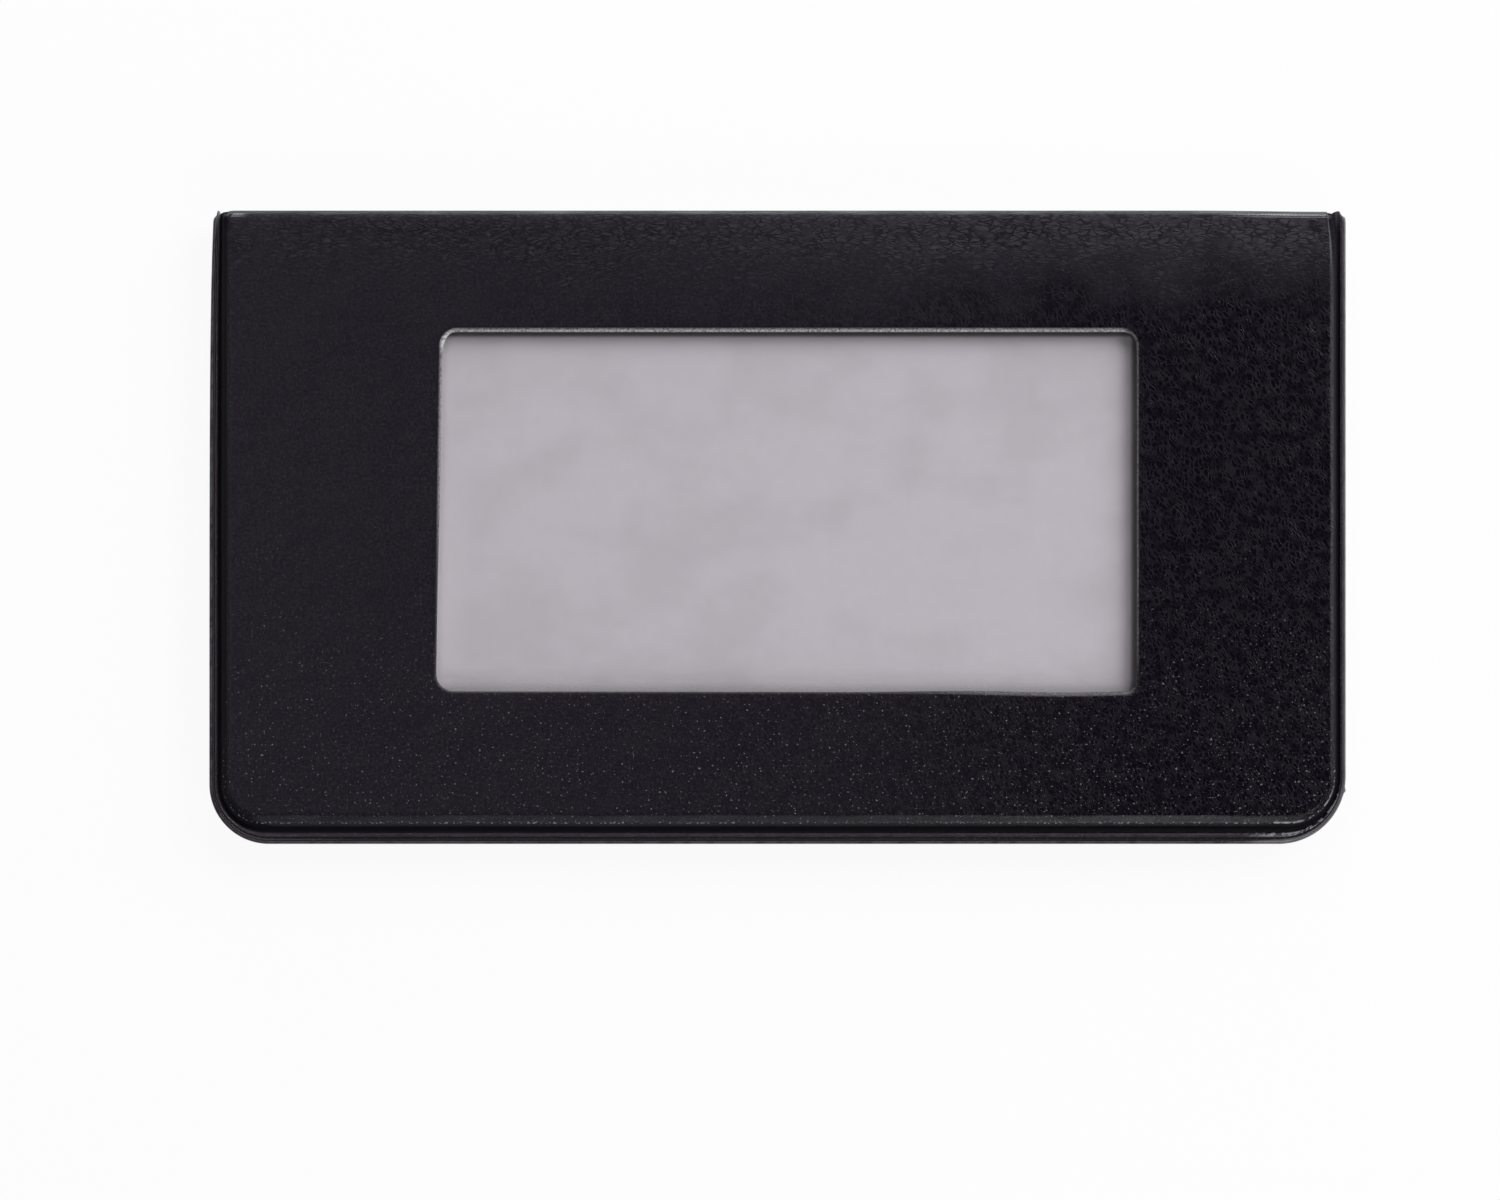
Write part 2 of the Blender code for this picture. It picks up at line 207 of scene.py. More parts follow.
def makePiece(name, grids, material, labels=()):
    # Grids are (rows, columns, 3 + 2 + n): place, place on the flat sheet, and values for attributes
    faces, first = [], 0
    for grid in grids:
        faces.append(gridFaces(grid.shape[0], grid.shape[1], first))
        first += grid.shape[0] * grid.shape[1]
    points = np.vstack([grid.reshape(-1, grid.shape[2]) for grid in grids])
    faces = np.vstack(faces).astype(np.int32)
    mesh = bpy.data.meshes.new(name)
    mesh.from_pydata(points[:, :3] * mm, [], faces.tolist())
    layer = mesh.uv_layers.new(name="flat")
    corners = np.zeros(len(mesh.loops), np.int32)
    mesh.loops.foreach_get("vertex_index", corners)
    layer.data.foreach_set("uv", (0.5 + points[corners, 3:5] / sheetSpan).astype(np.float32).ravel())
    for place, label in enumerate(labels):
        values = mesh.attributes.new(label, "FLOAT", "POINT")
        values.data.foreach_set("value", points[:, 5 + place].astype(np.float32))
    # Grids meet where their points fall together. What stays open is an end at a seam, and is capped
    shape = bmesh.new()
    shape.from_mesh(mesh)
    bmesh.ops.remove_doubles(shape, verts=shape.verts, dist=2e-6)
    bmesh.ops.dissolve_degenerate(shape, dist=1e-7, edges=shape.edges)
    ends = [edge for edge in shape.edges if edge.is_boundary]
    bmesh.ops.holes_fill(shape, edges=ends, sides=len(ends) + 1)
    bmesh.ops.recalc_face_normals(shape, faces=shape.faces)
    for face in shape.faces:
        face.smooth = True
    for edge in ends:  # so that the halves meet without a line
        edge.smooth = False
    openEdges = sum(1 for edge in shape.edges if not edge.is_manifold)
    facing = "inside out" if shape.calc_volume(signed=True) < 0 else "outwards"
    shape.to_mesh(mesh)
    shape.free()
    mesh.materials.append(material)
    piece = bpy.data.objects.new(name, mesh)
    bpy.context.scene.collection.objects.link(piece)
    print(name, len(mesh.polygons), "faces,", openEdges, "open edges,", facing)
    return piece


window = dict(
    width=64.1,
    height=33.5,
    right=1.05,  # middle of the window
    up=1.45,
    radii=(1.5, 1.66, 1.0, 1.5),  # top left, lower left, lower right, top right
    slant=0.5,  # the left edge runs this much further left at its lower end
    rise=0.12,  # the lower edge lies this much higher at its left end
    droop=0.22,  # and this much lower here
    droopAt=26,
    droopLength=7,
    bevel=0.26,  # slope of the cut along the top edge
    bevelLow=0.05,  # and along the others
    rings=26,
)


def windowEdges(step=0.0):
    # Left, right, low and high edges of the window grown by step
    halfWide, halfHigh = window["width"] / 2 + step, window["height"] / 2 + step
    across = (window["right"] - halfWide, window["right"] + halfWide)
    return *across, window["up"] - halfHigh, window["up"] + halfHigh


vinyl = dict(
    colour=(0.0045, 0.0034, 0.0075),
    warm=(0.0092, 0.0042, 0.0086),
    cool=(0.0042, 0.0046, 0.0090),
    paintedDullSheen=(0.0106, 0.0088, 0.0144),  # painted sheen of a broad soft reflection, where it is dull
    paintedSheen=(0.0340, 0.0310, 0.0400),  # painted sheen of light caught beside the fold, most at the right
    pebbleTopLight=(0.0540, 0.0500, 0.0610),  # painted highlight on the pebbles' tops beside the fold
    ridgeHighlight=(0.0310, 0.0280, 0.0360),  # painted highlight on the pebbles' ridges and on fine glinting specks
    rubbedAndLit=(0.110, 0.122, 0.128),  # along the crown of the fold: rubbed whitening with painted highlight, and a painted highlight line at its right end
    flange=(0.0085, 0.0036, 0.0092),
    edgeHighlight=(0.075, 0.066, 0.077),  # painted highlight on the flange's cut edge, its tool lines and specks
    ear=(0.125, 0.120, 0.135),  # the flange's folded ends
    # painted glints: sparkles on the grain, the right lip and the lower right corner's bead
    paintedGlint=(0.26, 0.26, 0.28),
    paintedShade=(0.0023, 0.0010, 0.0040),  # painted shade in the weld groove, the grain's pits and creases, on the right wall and over the lower right
    core=(0.72, 0.71, 0.73),  # threads of the backing at the window's cut
    coreDark=(0.20, 0.19, 0.20),
    dull=0.37,  # roughness at the left and beside the fold
    glossy=0.25,  # roughness of the rest
    polish=0.14,  # roughness where the welding tool has pressed
    specular=0.18,
    grain=0.040 * mm,  # height of the leather grain
    cell=0.53,  # its pebbles' width in millimetres
    lean=-1.05,  # angle of the pebbles below the fold
    line=0.33,  # width of the welding tool's lines along the flange
    lineHeight=0.028 * mm,
    wave=0.22 * mm,  # height of the sheet's slow waves
)

rimBands = dict(
    # Insets at which each band across the rim starts, is full, fades and ends
    leftEar=(0.10, 0.25, 0.55, 0.75),
    flange=(0.26, 0.34, 0.98, 1.10),
    bead=(0.62, 0.78, 0.98, 1.08),
    rightEar=(0.70, 0.95, 1.25, 1.40),
    eastWall=(1.70, 1.90, 2.30, 2.80),
    ledge=(1.86, 1.94, 2.02, 2.14),
    edgeLine=(2.35, 2.50, 2.65, 2.80),
)
foldBands = dict(
    # The same beside the fold, down the flat sheet
    crown=(0.80, 1.50, 2.00, 2.35),
    bend=(1.90, 2.20, 3.00, 3.80),
    glint=(1.95, 2.10, 2.40, 2.55),
)


def grainedVinyl():
    paint = Paint("grainedVinyl")
    place = paint.flatSheet()
    rim, inner, cut = paint.value("rim"), paint.value("inner"), paint.value("cut")
    right, down = paint.part(place, 0), paint.part(place, 1)
    onRim = {name: paint.band(rim, *places) for name, places in rimBands.items()}
    onFold = {name: paint.band(down, *places) for name, places in foldBands.items()}
    onPanel, outer = paint.step(rim, 1.6, 2.6), 1 - inner
    wide = paint.noise(place, 0.11, 3, 0.55)
    patchy = paint.noise(place, 0.07, 1) - 0.5
    broken = paint.step(paint.noise(place, 0.9, 2), 0.34, 0.58)
    # Parts of the cover: below the fold, the left, the right, and the two ends
    lower = paint.step(down + (paint.noise(place, 0.13, 2) - 0.5) * 12, 3.5, 12.5)
    nearFold = 1 - paint.step(down, 2.6, 4.5)
    leftHalf = 1 - paint.step(right + (wide - 0.5) * 20, 4, 38)
    rightward = paint.step(right + patchy * 24, -28, 47)
    westward = 1 - paint.step(right, -47, -37)
    east, west = paint.step(right, 42, 49), 1 - paint.step(right, -50, -46)
    corner = paint.step(right, 43, 47) * paint.step(down, 54.5, 56.5)
    dull = paint.math("MAXIMUM", leftHalf, 1 - lower)
    # Pebbles lie along the fold near it, and steeply aslant further down
    drift = paint.scaled(paint.noise(place, 0.8, 2, output=1), 1.1, 0.9, 0)
    warped = paint.moved(place, drift)
    lying = paint.cells(paint.scaled(warped, 0.55, 1.75, 1), 1 / vinyl["cell"])
    aslant = paint.scaled(paint.turned(warped, vinyl["lean"]), 0.75, 1.70, 1)
    slanting = paint.cells(aslant, 1 / vinyl["cell"])
    crumbs = paint.noise(paint.scaled(warped, 0.8, 1.2, 1), 3.1, 2, 0.6)
    fine = paint.noise(place, 9, 3, 0.6)
    creases = (1 - paint.step(lying, 0.015, 0.24)) * (0.4 + broken * 0.6) * (1 - lower)
    ridges = (1 - paint.step(slanting, 0.015, 0.20)) * (0.3 + broken * 0.7) * lower
    height = crumbs * 0.5 + fine * 0.2 + ridges * 0.42 - creases * 0.75
    strength = 0.44 + paint.step(right, -42, 48) * 0.18 + (1 - lower) * 0.22 + patchy * 0.6
    strength = paint.math("MAXIMUM", strength, 0.32)
    grain = paint.bump(height * strength * (onPanel * 0.85 + 0.15) * outer, vinyl["grain"])
    onFlange = onRim["flange"] * outer
    lines = paint.math("SINE", rim * (2 * math.pi / vinyl["line"])) * onFlange
    tooled = paint.bump(lines, vinyl["lineHeight"], grain)
    waved = paint.bump(wide + paint.noise(place, 1.1, 2) * 0.05, vinyl["wave"], tooled)
    # Panel: painted sheen beside the fold, pebbles with painted highlights and shade, mottling and painted
    # glints
    # painted sheen: light caught beside the fold, most at the right
    paintedSheen = (1 - lower) * (0.24 + paint.step(right, -34, 44) * 0.76)
    paintedSheen = paintedSheen + (1 - paint.step(down, 4, 7)) * 0.12
    # painted highlight on the pebbles' tops beside the fold
    pebbleTopLight = paint.step(lying, 0.18, 0.42) * (1 - lower) * (0.3 + broken * 0.7)
    mottled = paint.noise(place, 4.0, 2, 0.7)
    # painted highlights: lit ridges of the slanting pebbles and fine glinting specks
    glintSpecks = paint.step(mottled, 0.50 + rightward * 0.06, 0.72 + rightward * 0.06)
    ridgeAndSpeckLight = ridges * (0.16 + rightward * 0.24) + glintSpecks * (0.38 + strength * 0.30 - rightward * 0.28)
    # pits: dark specks, painted shade in the grain's hollows
    pits = (1 - paint.step(mottled, 0.28, 0.47)) * (strength * 0.4 + 0.42 - rightward * 0.24)
    # painted glints: sparkling specks towards the bottom, and dashes along the ledge near the lower corner
    towardsBottom = paint.step(down + (paint.noise(place, 0.25, 2) - 0.5) * 34, 28, 56)
    sparks = paint.noise(place, 4.1, 1)
    specks = paint.step(sparks, 0.67 - rightward * 0.02, 0.76) * towardsBottom * onPanel
    onLedge = onRim["ledge"] * outer * paint.step(sparks, 0.57, 0.66) * paint.step(down, 50, 55)
    specks = specks + onLedge * 1.5
    # Rim: crown of the fold with rubbed whitening and painted highlight, painted shade in the groove,
    # painted highlights on the trimmed edge and the flange
    streaks = paint.noise(paint.scaled(place, 0.16, 1.4, 1), 1.3, 3, 0.6)
    # the fold's crown: rubbed whitening and a painted highlight, in streaks
    crownRubAndLight = onFold["crown"] * onPanel * (0.30 + paint.step(streaks, 0.42, 0.66) * 0.6)
    crownRubAndLight = crownRubAndLight * (0.45 + paint.step(right, -50, -30) * 0.55)
    tuck = east * (1 - paint.step(down, 4, 8))
    wall = rim - east * 0.5 - west * 0.9 - tuck * 0.4
    # painted shade in the weld groove, darkest in its hollow and wider at the left
    paintedShade = paint.step(rim, 1.06, 1.20) * (1 - paint.step(wall, 1.46, 1.78)) * outer
    lip = (1 - paint.step(rim - east * 0.22, 0.14, 0.28)) * outer
    # painted highlights on the lip, more at the right, on the flange at the left, along the tool lines and
    # on specks
    rimHighlight = lip * (0.25 + broken * 0.5 + east * 0.3) + onFlange * west * 0.24
    rimHighlight = rimHighlight + paint.step(lines, 0.1, 0.9) * (0.16 + east * 0.12 + westward * 0.46)
    rimHighlight = rimHighlight + paint.step(sparks, 0.60, 0.70) * (onFlange * (0.4 + westward * 0.3) + lip)
    dashes = paint.step(paint.noise(place, 1.5, 2), 0.46, 0.56)
    # painted glints on the bead and the ledge at the lower right corner
    cornerGlint = (onRim["bead"] + onRim["ledge"] * 1.2) * corner * dashes * outer
    ears = (onRim["leftEar"] * west + onRim["rightEar"] * east * 0.3) * nearFold * outer
    # Colour: slow patches, then one layer over the other
    patches = paint.step(paint.noise(place, 0.33, 3, 0.6), 0.42, 0.62)
    tint = paint.blend(patches, vinyl["warm"], vinyl["cool"])
    base = paint.blend(paint.step(wide, 0.3, 0.7) * 0.5, vinyl["colour"], tint)
    layers = (
        # painted sheen: paler where it is dull, at the left and beside the fold
        (dull * 0.75, "paintedDullSheen"),
        (paintedSheen * 0.85, "paintedSheen"),
        # painted shade: the cover below the fold darker towards the right
        (lower * rightward * 0.88, "paintedShade"),
        # painted shade in the creases of the pebbles beside the fold
        (creases * strength * 1.1, "paintedShade"),
        (pebbleTopLight * strength * 0.6, "pebbleTopLight"),
        (ridgeAndSpeckLight, "ridgeHighlight"),
        (pits, "paintedShade"),
        (crownRubAndLight, "rubbedAndLit"),
        # painted shade on the wall along the right side
        (onRim["eastWall"] * east * 0.85, "paintedShade"),
        # painted highlight: a thin line along the panel's edge at the right end of the fold
        (onRim["edgeLine"] * tuck * outer * 0.6, "rubbedAndLit"),
        (paintedShade * 0.85, "paintedShade"),
        (onFlange * 0.85, "flange"),
        (rimHighlight, "edgeHighlight"),
        # painted highlight on the right lip
        (lip * east * 0.3, "paintedGlint"),
        (cornerGlint * 0.8, "paintedGlint"),
        (ears, "ear"),
        (specks * (0.35 + strength * 0.5), "paintedGlint"),
    )
    for share, colour in layers:
        base = paint.blend(share, base, vinyl[colour])
    thread = paint.step(paint.noise(place, 5.5, 2, 0.7), 0.36, 0.6)
    # pale threads at the window's cut, with a painted highlight where the cut is brightest along the top
    base = paint.blend(cut, base, paint.blend(thread, vinyl["coreDark"], vinyl["core"]))
    rough = vinyl["glossy"] + dull * (vinyl["dull"] - vinyl["glossy"]) + (wide - 0.5) * 0.1
    rough = rough + paintedSheen * 0.10 + onFold["bend"] * onPanel * 0.22
    rough = rough + paintedShade * 0.4 + inner * 0.25 + cut * 0.3
    # The welding tool leaves the shoulder, the bead and the edge shiny, and the fold's ends shine too
    shoulder = paint.step(rim - east * 0.15, 1.8, 1.95) * (1 - paint.step(rim + east * 0.3, 2.55, 2.8))
    shine = shoulder * (0.15 - east * 0.14 - leftHalf * 0.10)
    shine = shine * (0.3 + paint.step(streaks, 0.35, 0.65)) * (1 - west)
    shine = (shine + (onRim["bead"] + lip) * 0.36) * (0.4 + broken * 0.6)
    shine = shine + (onRim["bead"] + onRim["ledge"] * dashes) * corner
    foldEnds = paint.step(right, 40, 46) + 1 - paint.step(right, -49.7, -48.7)
    shine = (shine + foldEnds * onFold["glint"] * onPanel) * outer
    return paint.finish(
        Base_Color=base,
        Roughness=rough,
        Normal=waved,
        Specular_IOR_Level=vinyl["specular"],
        Coat_Weight=shine,
        Coat_Roughness=vinyl["polish"],
    )


lining = dict(
    colour=(0.0125, 0.0120, 0.0140),
    pale=(0.021, 0.020, 0.023),
    roughness=0.44,
    line=0.55,  # width of the welding tool's lines, also on the clear sheets
)


def toolLines(paint, place, weld):
    # Slanting lines that the welding tool leaves on welded land
    slant = paint.part(place, 0) + paint.part(place, 1)
    return paint.math("SINE", slant * (2 * math.pi / lining["line"])) * weld


def liningVinyl(name, onSheet):
    # A thin smooth vinyl with a fine matt emboss
    paint = Paint(name)
    place = paint.flatSheet() if onSheet else paint.onObject()
    weld = paint.value("weld")
    fine = paint.noise(place, 6, 3, 0.65)
    wide = paint.noise(place, 0.09, 3)
    dots = paint.cells(place, 3.2)
    base = paint.blend(paint.step(wide, 0.3, 0.7), lining["colour"], lining["pale"])
    base = paint.blend(weld * 0.35, base, lining["pale"])
    grain = paint.bump(paint.step(dots, 0.0, 0.3) * 0.5 + fine * 0.35, 0.02 * mm)
    waved = paint.bump(wide + toolLines(paint, place, weld) * 0.05, 0.35 * mm, grain)
    rough = lining["roughness"] + (fine - 0.5) * 0.15 + (wide - 0.5) * 0.1 - weld * 0.08
    return paint.finish(Base_Color=base, Roughness=rough, Normal=waved)


shadowGrey = (0.10, 0.095, 0.10)
film = dict(colour=(0.80, 0.77, 0.81), haze=0.16, roughness=0.15, paintedShadow=0.26)
clearSheet = dict(colour=(0.62, 0.62, 0.66), haze=0.035, roughness=0.12, paintedShadow=0.0)


def clearVinyl(name, kind):
    # A soft clear sheet: slightly milky, with slow ripples and a little blocking where it lay on the card
    paint = Paint(name)
    place = paint.onObject()
    x, y = paint.part(place, 0), paint.part(place, 1)
    weld = paint.value("weld")
    wide = paint.noise(place, 0.075, 3, 0.5)
    ripple = paint.noise(paint.scaled(place, 1, 0.6, 1), 0.26, 2)
    normal = paint.bump(wide + ripple * 0.12 + toolLines(paint, place, weld) * 0.06, 0.3 * mm)
    cloud = paint.noise(place, 0.12, 3)
    # Painted shadow inside the window's edges, and furthest in along the lower one
    right, low, high = windowEdges()[1:]
    below = (1 - paint.step(y + (cloud - 0.5) * 0.6, low + 0.1, low + 1.6)) * 0.42
    above = paint.step(y, high - 0.85, high - 0.15) * 1.8
    shadowMargin = (below + above + paint.step(x, right - 0.75, right - 0.1)) * kind["paintedShadow"]
    base = paint.blend(paint.step(shadowMargin, 0, 0.2), kind["colour"], shadowGrey)
    haze = kind["haze"] * (0.4 + cloud * 1.2) + weld * 0.10 + shadowMargin
    rough = kind["roughness"] + wide * 0.1 + weld * 0.15
    return paint.finish(Base_Color=base, Roughness=rough, Alpha=haze, Normal=normal)


card = dict(colour=(0.515, 0.476, 0.526), shade=(0.450, 0.420, 0.463), fibre=(0.60, 0.58, 0.60))


def cardStock():
    # Plain card: slow pale clouds and fine fibres
    paint = Paint("cardStock")
    place = paint.onObject()
    cloud = paint.noise(paint.scaled(place, 1, 1.5, 1), 0.12, 3, 0.5)
    fibre = paint.noise(place, 1.8, 3, 0.7)
    base = paint.blend(paint.step(cloud, 0.34, 0.60), card["shade"], card["colour"])
    base = paint.blend(fibre * 0.10, base, card["fibre"])
    normal = paint.bump(fibre, 0.01 * mm)
    return paint.finish(Base_Color=base, Roughness=0.7 + fibre * 0.15, Normal=normal)


board = dict(colour=(0.30, 0.28, 0.25), fleck=(0.15, 0.145, 0.14), pale=(0.42, 0.40, 0.37))


def greyBoard():
    # Matt pressed board: short fibres, dark flecks and a few pale ones
    paint = Paint("greyBoard")
    place = paint.onObject()
    fibre = paint.noise(paint.scaled(place, 1, 3, 3), 0.9, 4, 0.7)
    flecks = paint.step(paint.noise(place, 2.3, 2, 0.6), 0.60, 0.68)
    base = paint.blend(paint.step(fibre, 0.45, 0.7), board["colour"], board["fleck"])
    base = paint.blend(flecks * 0.6, base, board["pale"])
    normal = paint.bump(fibre, 0.03 * mm)
    return paint.finish(Base_Color=base, Roughness=0.85 + fibre * 0.1, Normal=normal)


grained = grainedVinyl()
liningOnSheet = liningVinyl("foldLiningVinyl", True)
liningFlat = liningVinyl("liningVinyl", False)
milky = clearVinyl("windowFilm", film)
clear = clearVinyl("clearPocket", clearSheet)
paper = cardStock()
stiffener = greyBoard()
print("finishes made")

skin = dict(
    # Insets across the rim at the bottom edge, and how far in they lie at the left and right edges
    low=(0, 0.17, 0.85, 1.30, 1.50, 1.83, 2.80),
    left=(0, 0.28, 0.62, 0.95, 1.06, 1.28, 1.95),
    right=(0, 0.175, 0.50, 0.74, 0.87, 1.02, 1.58),
    taper=0.34,  # the panel draws in this much at the right end of the fold
    taperLength=2.2,
    lean=0.40,  # the flange draws in this much at the left end of the fold
    leanLength=8.5,
    nub=0.15,  # a blob of pressed-out vinyl on the lower right corner
    nubAt=-24.3,
    nubLength=0.20,
    wobble=0.025,  # height of the slight waves along the weld
    backSheet=61.3,  # the back cover is cut from this much further along the sheet
    backMiddle=14,  # half the line on which the back panel's rings close
)

# Across the rim, from the panel over the edge to the inner side. Each row gives inset, depth, drop below the
# fold's face at its left end and at its right, and the bend's radius there
rimPoints = [
    (3.20, 0.00, 0.00, 0.11, 1.00),
    (2.90, 0.004, 0.02, 0.12, 1.00),
    (2.72, 0.03, 0.05, 0.14, 1.00),
    (2.58, 0.09, 0.08, 0.17, 0.97),
    (2.40, 0.18, 0.10, 0.20, 0.93),
    (2.22, 0.27, 0.12, 0.22, 0.90),
    (2.05, 0.36, 0.13, 0.24, 0.86),
    (1.93, 0.44, 0.14, 0.25, 0.83),
    (1.82, 0.55, 0.14, 0.26, 0.79),
    (1.70, 0.66, 0.15, 0.26, 0.72),
    (1.60, 0.84, 0.16, 0.25, 0.64),
    (1.51, 1.02, 0.17, 0.20, 0.56),
    (1.42, 1.15, 0.18, 0.15, 0.50),
    (1.30, 1.21, 0.20, 0.08, 0.46),
    (1.16, 1.18, 0.22, 0.03, 0.46),
    (1.04, 1.08, 0.23, 0.02, 0.48),
    (0.94, 0.98, 0.26, 0.08, 0.50),
    (0.84, 0.95, 0.32, 0.20, 0.50),
    (0.74, 0.99, 0.36, 0.28, 0.50),
    (0.64, 1.06, 0.28, 0.35, 0.50),
    (0.52, 1.10, 0.06, 0.41, 0.50),
    (0.42, 1.11, -0.04, 0.45, 0.50),
    (0.33, 1.11, -0.03, 0.48, 0.50),
    (0.25, 1.08, 0.12, 0.51, 0.50),
    (0.17, 1.04, 0.36, 0.54, 0.50),
    (0.08, 1.07, 0.56, 0.59, 0.52),
    (0.02, 1.16, 0.66, 0.66, 0.55),
    (0.00, 1.30, 0.71, 0.71, 0.60),
    (0.03, 1.45, 0.76, 0.76, 0.70),
    (0.14, 1.50, 0.80, 0.80, 0.77),
    (0.50, 1.50, 0.80, 0.80, 0.77),
    (1.00, 1.50, 0.80, 0.80, 0.77),
    (1.52, 1.50, 0.80, 0.80, 0.77),
    (1.64, 1.42, 0.78, 0.78, 0.76),
    (1.79, 1.10, 0.72, 0.72, 0.72),
    (1.98, 0.75, 0.62, 0.62, 0.66),
    (2.22, 0.50, 0.46, 0.50, 0.62),
    (2.60, 0.40, 0.40, 0.46, 0.60),
    (3.20, 0.40, 0.40, 0.46, 0.60),
]

# Shares of each stretch at which points lie, closest near the fold's ends and the window's corners
upSteps = np.linspace(0, 1, 5)[:-1]
bendSteps = np.linspace(0, 1, 13)[:-1]
nearSteps = np.linspace(0, 0.05, 6)[:-1]
cornerSteps = np.linspace(0.05, 0.13, 7)[:-1]
sideSteps = np.concatenate([nearSteps, cornerSteps, np.linspace(0.13, 1, 44)])
arcSteps = np.linspace(0, 1, 45)[:-1]
topEnds = np.linspace(0, 0.05, 7)[:-1]
topSteps = np.concatenate([topEnds, np.linspace(0.05, 0.95, 70)[:-1], np.linspace(0.95, 1, 7)])
lowSteps = np.linspace(0, 1, len(topSteps))[:-1]
beforePanel = len(upSteps) + len(bendSteps) + len(nearSteps)


def planePath(left, right, low, radii, tops):
    # Down the left side, round the corner, along the bottom and up the right: (rows, columns, 2)
    leftward, rightward = radii
    topLeft, topRight = tops
    s, a, f = sideSteps[:, None], arcSteps[:, None] * math.pi / 2, lowSteps[:, None]
    down = np.stack([left + 0 * s, topLeft + (low + leftward - topLeft) * s], -1)
    leftTurn = np.stack([left + leftward * (1 - np.cos(a)), low + leftward * (1 - np.sin(a))], -1)
    along = np.stack([left + leftward + (right - left - leftward - rightward) * f, low + 0 * f], -1)
    rightTurn = np.stack([right - rightward * (1 - np.sin(a)), low + rightward * (1 - np.cos(a))], -1)
    up = np.stack([right + 0 * s, topRight + (low + rightward - topRight) * s], -1)[::-1]
    return np.concatenate([down[:-1], leftTurn, along, rightTurn, up])


def foldRows(depth, sink, bend):
    # Over half the fold: straight up the spine, then a quarter circle. Gives y and z, (rows, columns, 2)
    middle = holder["thick"] / 2 + holder["seamGap"] / 2
    climb = holder["thick"] - depth - bend - middle
    u, a = upSteps[:, None], bendSteps[:, None] * math.pi / 2
    out, up = holder["fold"] - sink - bend, middle + climb
    rise = np.stack([out + bend + 0 * u, middle + climb * u], -1)
    turn = np.stack([out + bend * np.cos(a), up + bend * np.sin(a)], -1)
    return np.concatenate([rise, turn])


# Distance over the fold on the outer face: at the bend's start, at each row, and at the bend's end
foldClimb = holder["thick"] / 2 - holder["foldRadius"]
foldBend = holder["foldRadius"] * math.pi / 2
foldRun = np.concatenate([foldClimb * upSteps, foldClimb + foldBend * bendSteps])
foldEnd = foldClimb + foldBend


def downSheet(y):
    # How far down the flat sheet a place on the cover lies
    return foldEnd + holder["fold"] - holder["foldRadius"] - y


def drawIn(place, inset, fromFold):
    # Near the fold the panel's shoulder draws in at the right, and the flange at the left
    onLeft, onRight = place[..., 0] < 0, place[..., 0] > 0
    shoulder = smoothStep(inset, 0.9, 1.6) * (1 - smoothStep(inset, 2.5, 3.2))
    near = np.exp(-((fromFold / skin["taperLength"]) ** 2))
    place[..., 0] -= skin["taper"] * shoulder * near * onRight
    flange = 1 - smoothStep(inset, 0.5, 2.2)
    place[..., 0] += skin["lean"] * flange * np.exp(-fromFold / skin["leanLength"]) * onLeft
    # The blob stands out past the edge
    blob = np.exp(-(((place[..., 1] - skin["nubAt"]) / skin["nubLength"]) ** 2))
    place[..., 0] += skin["nub"] * blob * (1 - smoothStep(inset, 0.0, 0.4)) * onRight


def rimGrid():
    # The rim's profile carried along the path, from the spine's middle round to its other end
    inset, depth, dropLeft, dropRight, bend = smoothThrough(rimPoints, 3).T
    bend = np.minimum(bend, holder["thick"] / 2 - depth - 0.03)
    extra = np.maximum(inset - skin["low"][-1], 0)
    left = -holder["halfWidth"] + np.interp(inset, skin["low"], skin["left"]) + extra
    right = holder["halfWidth"] - np.interp(inset, skin["low"], skin["right"]) - extra
    low = holder["bottom"] + inset
    radii = [np.maximum(holder[side] - inset, 0.4) for side in ("cornerLeft", "cornerRight")]
    tops = [holder["fold"] - drop - bend for drop in (dropLeft, dropRight)]
    plane = planePath(left, right, low, radii, tops)
    body = np.dstack([plane, np.broadcast_to(holder["thick"] - depth, plane.shape[:2])])
    ends = []
    for side, drop in ((left, dropLeft), (right, dropRight)):
        over = foldRows(depth, drop, bend)
        ends.append(np.dstack([np.broadcast_to(side, over.shape[:2]), over]))
    place = np.concatenate([ends[0], body, ends[1][::-1]])
    fromFold = np.maximum(holder["fold"] - place[..., 1], 0)
    drawIn(place, inset, fromFold)
    # Flat place: the profile's own length stands in for the inset
    length = np.concatenate([[0], np.cumsum(np.hypot(np.diff(inset), np.diff(depth)))])
    grown = [radius[0] + length for radius in radii]
    start = holder["fold"] - holder["foldRadius"] + 0 * length
    flat = planePath(left[0] - length, right[0] + length, low[0] - length, grown, (start, start))
    flat[..., 1] = downSheet(flat[..., 1])
    flatStart = np.dstack(np.broadcast_arrays(left[0] - length, foldRun[:, None]))
    flatEnd = np.dstack(np.broadcast_arrays(right[0] + length, foldRun[:, None]))[::-1]
    flat = np.concatenate([flatStart, flat, flatEnd])
    # Slight waves along the weld, as hand-fed work has
    along = flat[..., 0] * 0.31 + flat[..., 1] * 0.27
    wave = np.sin(along) + 0.6 * np.sin(2.7 * along + 1.3) + 0.5 * np.sin(6.1 * along + 0.4)
    soft = smoothStep(inset, 0.0, 0.6) * (1 - smoothStep(inset, 2.3, 3.1))
    place[..., 2] -= skin["wobble"] * wave * soft * smoothStep(fromFold, 2.5, 6)
    # Attributes: inset, whether on the inner side, and no cut
    under = np.arange(len(inset)) > np.argmax(inset <= 0.001) + 3
    values = np.dstack(np.broadcast_arrays(inset, under.astype(float), 0.0, place[..., 0]))[..., :3]
    return np.dstack([place, flat, values])


